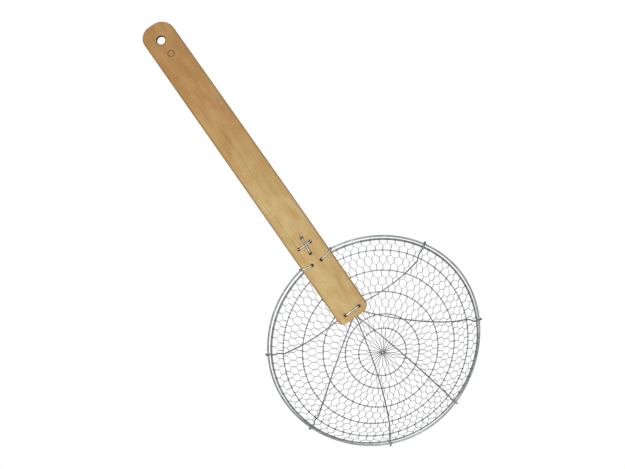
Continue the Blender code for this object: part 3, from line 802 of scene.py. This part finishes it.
def shaped_slat(mesh):
    """Crowns and bends the flat slat, once each point's straight place is kept for the grain to follow."""
    shape = bmesh.new()
    shape.from_mesh(mesh)
    for x in np.arange(GRIP_END_X + GRID_X, TIP_REACH, GRID_X):
        cut_across(shape, x=x)
    for i in range(BEND_STEPS + 1):
        cut_across(shape, x=BEND_START_X - BEND_LENGTH * i / BEND_STEPS)
    for i in range(-GRID_ROWS, GRID_ROWS + 1):
        cut_across(shape, y=i * GRID_Y)
    straight = shape.verts.layers.float_vector.new("straight_place")
    for vert in shape.verts:
        x, y, z = vert.co
        vert[straight] = vert.co
        half = SLAT_TIP_WIDTH / 2
        crown = SLAT_CROWN * max(0, 1 - (y / half) ** 2) if z > 0 else 0
        vert.co = slat_place(x, y, z + crown * z / (SLAT_THICKNESS / 2))
    shape.transform(SLAT)
    bmesh.ops.recalc_face_normals(shape, faces=shape.faces)
    shape.to_mesh(mesh)
    shape.free()
    mesh.shade_smooth()
    mesh.set_sharp_from_angle(angle=math.radians(40))
    return mesh


def add_slat(bamboo):
    mesh = shaped_slat(drilled(flat_slat()))
    mesh.materials.clear()
    add_piece("bamboo_slat", mesh, bamboo, ["bamboo_handle"])


# ---------------------------------------------------------------- stitches


def drop_to_layer(x, y, layer):
    """The slat-frame height, under a place on the slat, that lies a layer's depth below the netting."""
    to_basket = slat_to_basket()
    high = -SLAT_THICKNESS / 2
    low = high - DROP_REACH
    for _ in range(HALVINGS):
        middle = (high + low) / 2
        if bowl_offset(to_basket @ Vector((x, y, middle))) > -layer:
            high = middle
        else:
            low = middle
    return low


def pulled(first, second):
    """Two holes' places, each moved to where a taut wire between them rests in its hole."""
    first, second = Vector((*first, 0)), Vector((*second, 0))
    pull = (second - first).normalized() * STITCH_PULL
    return first + pull, second - pull


def cross_stitch_points(holes, lift):
    """Over the top through two holes, the ends bent apart underneath. It bows up by a lift midway."""
    first, second = pulled(*holes)
    tail = (second - first).normalized() * CROSS_STITCH_TAIL
    top = Vector((0, 0, TOP_RUN))
    middle = (first + second) / 2 + top * (1 + lift / TOP_RUN)
    start = [first - top - tail, first - top, first + top]
    return [*start, middle, second + top, second - top, second - top + tail]


def rim_stitch_points(hole):
    """Up through its hole, over the slat's edge, tightly round the outer rim ring and back underneath."""
    hole_x, hole_y = hole
    side = math.copysign(1, hole_y)
    edge_y = SLAT_TIP_WIDTH / 2
    angle = math.pi - side * math.asin((edge_y + STITCH_RADIUS) / RIM_RADIUS)
    true_place = (RIM_RADIUS * math.cos(angle), RIM_RADIUS * math.sin(angle), 0)
    rim = slat_to_basket().inverted() @ Vector(out_of_true(np.array([true_place]))[0])
    reach = RIM_WIRE / 2 + STITCH_RADIUS
    below_slat = -SLAT_THICKNESS / 2 - GAP - STITCH_RADIUS
    turns = [
        (rim.x - 0.6 * STITCH_WIRE, edge_y - 0.5 * STITCH_WIRE, TOP_RUN),
        (rim.x - STITCH_WIRE, edge_y + STITCH_RADIUS, 0.3 * SLAT_THICKNESS),
        (rim.x - reach, edge_y + STITCH_WIRE, rim.z + reach / 2),
        (rim.x - 0.3 * reach, edge_y + STITCH_WIRE, rim.z - reach),
        (rim.x + reach, edge_y + STITCH_RADIUS, rim.z - reach / 2),
        (rim.x + reach, edge_y - 0.8 * STITCH_WIRE, rim.z - reach),
        (hole_x + STITCH_RADIUS, side * hole_y + 3 * STITCH_WIRE, below_slat),
    ]
    corners = [(hole_x, side * hole_y, below_slat), (hole_x, side * hole_y + STITCH_PULL, TOP_RUN)] + turns
    return [(x, side * y, z) for x, y, z in corners]


def tip_stitch_points():
    right, left = pulled(*((TIP_STITCH_X, y) for y in TIP_STITCH_Y))
    top = Vector((0, 0, TOP_RUN))
    bottom = Vector((0, 0, drop_to_layer(TIP_STITCH_X, 0, STITCH_LAYER)))
    return [right + bottom, right + top, left + top, left + bottom]


def add_stitches(stitch_material):
    stitches = {
        "cross_stitch_long": (cross_stitch_points(LONG_STITCH, STITCH_WIRE), False),
        "cross_stitch_short": (cross_stitch_points(SHORT_STITCH, 0), False),
        "rim_stitch_left": (rim_stitch_points(RIM_STITCHES[1]), True),
        "rim_stitch_right": (rim_stitch_points(RIM_STITCHES[0]), True),
        "tip_stitch": (tip_stitch_points(), True),
    }
    for name, (corners, closed) in stitches.items():
        stitch = Strands()
        path = rounded_path(corners, STITCH_BEND, cyclic=closed)
        stitch.add(path, STITCH_RADIUS, sides=12, closed=closed)
        stitch.piece(name + "_wire", stitch_material, "stitch_wire", [name], to_row=SLAT)


# ---------------------------------------------------------------- materials


class Nodes:
    """A short way to write a node material."""

    def __init__(self, name):
        self.material = bpy.data.materials.new(name)
        self.material.use_nodes = True
        self.tree = self.material.node_tree
        self.shader = self.tree.nodes["Principled BSDF"]

    def link(self, source, target):
        self.tree.links.new(source, target)

    def add(self, kind, **inputs):
        node = self.tree.nodes.new(kind)
        for key, value in inputs.items():
            socket = node.inputs[key.replace("_", " ")]
            if isinstance(value, bpy.types.NodeSocket):
                self.link(value, socket)
            else:
                socket.default_value = value
        return node

    def noise(self, vector, scale, detail=2.0, roughness=0.5):
        settings = {"Vector": vector, "Scale": scale, "Detail": detail, "Roughness": roughness}
        return self.add("ShaderNodeTexNoise", **settings).outputs["Fac"]

    def stretched(self, vector, scale):
        node = self.add("ShaderNodeVectorMath")
        node.operation = "MULTIPLY"
        self.link(vector, node.inputs[0])
        node.inputs[1].default_value = scale
        return node.outputs["Vector"]

    def math(self, operation, first, second=0.0):
        node = self.tree.nodes.new("ShaderNodeMath")
        node.operation = operation
        for socket, value in zip(node.inputs, (first, second), strict=False):
            if isinstance(value, bpy.types.NodeSocket):
                self.link(value, socket)
            else:
                socket.default_value = value
        return node.outputs[0]

    def ramp(self, value, *stops):
        node = self.add("ShaderNodeValToRGB", Fac=value)
        elements = node.color_ramp.elements
        while len(elements) < len(stops):
            elements.new(0.5)
        for element, (place, colour) in zip(elements, stops, strict=True):
            element.position = place
            element.color = (*colour, 1)
        return node.outputs["Color"]

    def span(self, value, low, high, to_low=0.0, to_high=1.0):
        node = self.add("ShaderNodeMapRange", Value=value)
        for key, number in zip(("From Min", "From Max", "To Min", "To Max"), (low, high, to_low, to_high)):
            node.inputs[key].default_value = number
        return node.outputs["Result"]

    def mix(self, share, first, second, blend="MIX"):
        node = self.tree.nodes.new("ShaderNodeMix")
        node.data_type = "RGBA"
        node.blend_type = blend
        for socket, value in ((node.inputs[0], share), (node.inputs[6], first), (node.inputs[7], second)):
            if isinstance(value, bpy.types.NodeSocket):
                self.link(value, socket)
            elif isinstance(value, tuple):
                socket.default_value = (*value, 1)
            else:
                socket.default_value = value
        return node.outputs[2]

    def bump(self, height, strength, distance):
        node = self.add("ShaderNodeBump", Height=height, Strength=strength, Distance=distance)
        self.link(node.outputs["Normal"], self.shader.inputs["Normal"])

    def set(self, **inputs):
        for key, value in inputs.items():
            socket = self.shader.inputs[key.replace("_", " ")]
            if isinstance(value, bpy.types.NodeSocket):
                self.link(value, socket)
            else:
                socket.default_value = value


def wire_material(name, dark, light, roughness, grain=0.25):
    """Galvanised wire: grey zinc with cloudy patches, and a faint drawn grain."""
    nodes = Nodes(name)
    place = nodes.add("ShaderNodeTexCoord").outputs["Object"]
    cloud = nodes.noise(place, 160, detail=3)
    speck = nodes.noise(place, 1800, detail=2)
    colour = nodes.ramp(cloud, (0.35, dark), (0.65, light))
    colour = nodes.mix(nodes.span(speck, 0.35, 0.7, 0.0, grain), colour, dark)
    rough = nodes.span(cloud, 0.3, 0.7, roughness + 0.08, roughness - 0.06)
    nodes.set(Base_Color=colour, Metallic=1.0, Roughness=rough)
    nodes.bump(speck, grain, 0.05 * MM)
    return nodes.material


def bamboo_material():
    """Lacquered bamboo: long fibres and short dark pores, with painted shade that darkens the grip's free
    end, the left side and the holes, and darker along the edges.
    """
    nodes = Nodes("bamboo")
    attribute = nodes.tree.nodes.new("ShaderNodeAttribute")
    attribute.attribute_name = "straight_place"
    place = attribute.outputs["Vector"]
    split = nodes.add("ShaderNodeSeparateXYZ", Vector=place)
    fibres = nodes.noise(nodes.stretched(place, (35, 1500, 1500)), 1, detail=4, roughness=0.6)
    bands = nodes.noise(nodes.stretched(place, (9, 170, 170)), 1, detail=2)
    patches = nodes.noise(nodes.stretched(place, (50, 110, 110)), 1, detail=3)
    pores = nodes.noise(nodes.stretched(place, (170, 2600, 2600)), 1, detail=1)
    dark, middle, light = (0.4, 0.23, 0.065), (0.6, 0.4, 0.14), (0.74, 0.54, 0.22)
    colour = nodes.ramp(fibres, (0.3, dark), (0.5, middle), (0.7, light))
    colour = nodes.mix(nodes.span(bands, 0.35, 0.65, 0.0, 0.7), colour, (0.6, 0.35, 0.09))
    colour = nodes.mix(nodes.span(patches, 0.4, 0.65, 0.0, 0.6), colour, (0.72, 0.55, 0.24))
    colour = nodes.mix(nodes.span(pores, 0.62, 0.72, 0.0, 0.5), colour, (0.3, 0.16, 0.05))
    # Painted shade: the upper stretch, from the bend to the grip, is darkened more and more towards the
    # free end, standing in for the light that falls less on it.
    along = nodes.span(split.outputs["X"], GRIP_END_X, 0)
    at_grip, halfway, at_bowl = (0.76, 0.57, 0.38), (0.88, 0.75, 0.61), (1, 1, 0.98)
    painted_grip_shade = nodes.ramp(along, (0.2, at_grip), (0.5, halfway), (0.75, at_bowl))
    colour = nodes.mix(1.0, colour, painted_grip_shade, blend="MULTIPLY")
    # Painted shade: the slat is darkened a little towards its left side, the side turned away from the
    # light.
    shaded_side_share = nodes.span(split.outputs["Y"], -SLAT_TIP_WIDTH / 2, SLAT_TIP_WIDTH / 2)
    colour = nodes.mix(nodes.math("MULTIPLY", shaded_side_share, 0.25), colour, (0.36, 0.21, 0.07))
    across = nodes.math("ABSOLUTE", split.outputs["Y"])
    edge = nodes.span(across, SLAT_GRIP_WIDTH / 2 - 2.4 * MM, SLAT_GRIP_WIDTH / 2 - 0.2 * MM)
    colour = nodes.mix(nodes.math("MULTIPLY", edge, 0.75), colour, (0.3, 0.15, 0.04))
    # Painted shade: near-black inside the holes and just round their lips.
    colour = nodes.mix(painted_hole_shade(nodes, place), colour, (0.06, 0.028, 0.01))
    colour = nodes.mix(burn_mark(nodes, place), colour, (0.12, 0.05, 0.015))
    rough = nodes.span(fibres, 0.3, 0.7, 0.5, 0.38)
    nodes.set(Base_Color=colour, Roughness=rough, Coat_Weight=0.12, Coat_Roughness=0.3)
    nodes.bump(nodes.math("SUBTRACT", fibres, nodes.span(pores, 0.62, 0.72, 0.0, 0.6)), 0.35, 0.12 * MM)
    return nodes.material


def distance_from(nodes, place, point):
    offset = nodes.tree.nodes.new("ShaderNodeVectorMath")
    offset.operation = "DISTANCE"
    nodes.link(place, offset.inputs[0])
    offset.inputs[1].default_value = point
    return offset.outputs["Value"]


def painted_hole_shade(nodes, place):
    """The share of painted shade: inside the slat's holes and just round them."""
    flat = nodes.stretched(place, (1, 1, 0))
    nearest = 1.0
    for x, y, radius, lip, _ in slat_holes():
        outside = nodes.math("SUBTRACT", distance_from(nodes, flat, (x, y, 0)), radius + lip)
        nearest = nodes.math("MINIMUM", outside, nearest)
    return nodes.span(nearest, 0.1 * MM, 0.55 * MM, 0.96, 0.0)


def burn_mark(nodes, place):
    """The share of scorching of a small plain ring burned into the top near the free end."""
    middle = (GRIP_END_X + HANGING_HOLE_INSET + BURN_INSET, 0, SLAT_THICKNESS / 2)
    from_line = nodes.math("SUBTRACT", distance_from(nodes, place, middle), BURN_RADIUS)
    rough_edge = nodes.noise(place, 2500, detail=1)
    width = nodes.span(rough_edge, 0.2, 0.8, 0.5 * MM, 0.85 * MM)
    return nodes.math("MULTIPLY", nodes.math("LESS_THAN", nodes.math("ABSOLUTE", from_line), width), 0.8)


def floor_material():
    """A lit white sheet, so bright that no shadow shows on it."""
    nodes = Nodes("pale_floor")
    nodes.set(Base_Color=(0, 0, 0, 1), Roughness=1.0, Specular_IOR_Level=0.0)
    seen = nodes.add("ShaderNodeLightPath").outputs["Is Camera Ray"]
    nodes.set(Emission_Color=(1, 1, 1, 1), Emission_Strength=nodes.span(seen, 0, 1, FLOOR_GLOW, 1.0))
    return nodes.material


# ---------------------------------------------------------------- stage, light and camera

# The sky as the strainer sees it: from and to these heights, it brightens from and to these strengths
SKY_GLOW = (0.15, 0.8, 0.1, 0.85)
# The floor's own glow, half its side in metres, and how far it is below the strainer
FLOOR_GLOW = 0.28
FLOOR_HALF = 4.0
FLOOR_GAP = 0.2 * MM
# Each light's name, place in metres, width in metres and power in watts
LIGHTS = (
    ("key", (1.6, -0.7, 2.0), 1.8, 14),
    ("overhead", (-0.1, 0.0, 3.8), 1.4, 12),
    ("back", (-1.6, 0.75, 1.9), 1.8, 6),
)


def add_floor():
    mesh = bpy.data.meshes.new("floor")
    corners = [(x * FLOOR_HALF, y * FLOOR_HALF, 0) for x, y in ((-1, -1), (1, -1), (1, 1), (-1, 1))]
    mesh.from_pydata(corners, [], [(0, 1, 2, 3)])
    mesh.materials.append(floor_material())
    floor = bpy.data.objects.new("floor", mesh)
    floor.location.z = CAD_LOW.z - FLOOR_GAP
    bpy.context.scene.collection.objects.link(floor)


def add_area_light(name, place, target, size, power):
    light = bpy.data.lights.new(name, "AREA")
    light.shape = "DISK"
    light.size = size
    light.energy = power
    lamp = bpy.data.objects.new(name, light)
    lamp.location = place
    lamp.rotation_mode = "QUATERNION"
    lamp.rotation_quaternion = (Vector(target) - Vector(place)).to_track_quat("-Z", "Y")
    bpy.context.scene.collection.objects.link(lamp)


def add_lights():
    world = bpy.data.worlds.new("studio")
    bpy.context.scene.world = world
    world.use_nodes = True
    tree = world.node_tree
    background = tree.nodes["Background"]
    background.inputs["Color"].default_value = (1, 1, 1, 1)
    height = tree.nodes.new("ShaderNodeSeparateXYZ")
    tree.links.new(tree.nodes.new("ShaderNodeTexCoord").outputs["Generated"], height.inputs[0])
    sky = tree.nodes.new("ShaderNodeMapRange")
    for key, value in zip(("From Min", "From Max", "To Min", "To Max"), SKY_GLOW, strict=True):
        sky.inputs[key].default_value = value
    tree.links.new(height.outputs["Z"], sky.inputs["Value"])
    seen = tree.nodes.new("ShaderNodeMapRange")
    seen.inputs["To Max"].default_value = 1.0
    tree.links.new(tree.nodes.new("ShaderNodeLightPath").outputs["Is Camera Ray"], seen.inputs["Value"])
    tree.links.new(sky.outputs["Result"], seen.inputs["To Min"])
    tree.links.new(seen.outputs["Result"], background.inputs["Strength"])
    for name, place, size, power in LIGHTS:
        add_area_light(name, place, RIM_MIDDLE, size, power)


# The camera's place from the rim's middle in metres, its turns in degrees, its lens in millimetres, and
# how many metres it sees
CAMERA_OFFSET = (-155 * MM, -20.8 * MM, 3.2)
CAMERA_ANGLES = (-0.114, -0.778, 54.761)
CAMERA_LENS = 177.14
CAMERA_SIGHT = 50


def add_camera():
    """Almost straight overhead and a long way up, with the handle running down to the right."""
    data = bpy.data.cameras.new("camera")
    data.lens = CAMERA_LENS
    data.clip_end = CAMERA_SIGHT
    camera = bpy.data.objects.new("camera", data)
    camera.location = RIM_MIDDLE + Vector(CAMERA_OFFSET)
    camera.rotation_euler = [math.radians(angle) for angle in CAMERA_ANGLES]
    bpy.context.scene.collection.objects.link(camera)
    bpy.context.scene.camera = camera
    bpy.context.scene.view_settings.view_transform = "Standard"


rim_zinc = wire_material("rim_zinc", (0.33, 0.37, 0.35), (0.53, 0.58, 0.55), 0.42, grain=0.0)
zinc = wire_material("galvanised_zinc", (0.3, 0.34, 0.315), (0.48, 0.52, 0.495), 0.38, grain=0.08)
strand_zinc = wire_material("strand_zinc", (0.25, 0.28, 0.26), (0.43, 0.46, 0.44), 0.42, grain=0.15)
stitch_zinc = wire_material("stitch_zinc", (0.48, 0.5, 0.5), (0.76, 0.78, 0.78), 0.3, grain=0.08)
add_rim_rings(rim_zinc, zinc)
add_net_rings(zinc)
add_netting(strand_zinc)
add_hub(strand_zinc)
add_ribs(zinc)
add_slat(bamboo_material())
add_stitches(stitch_zinc)
add_floor()
add_lights()
add_camera()
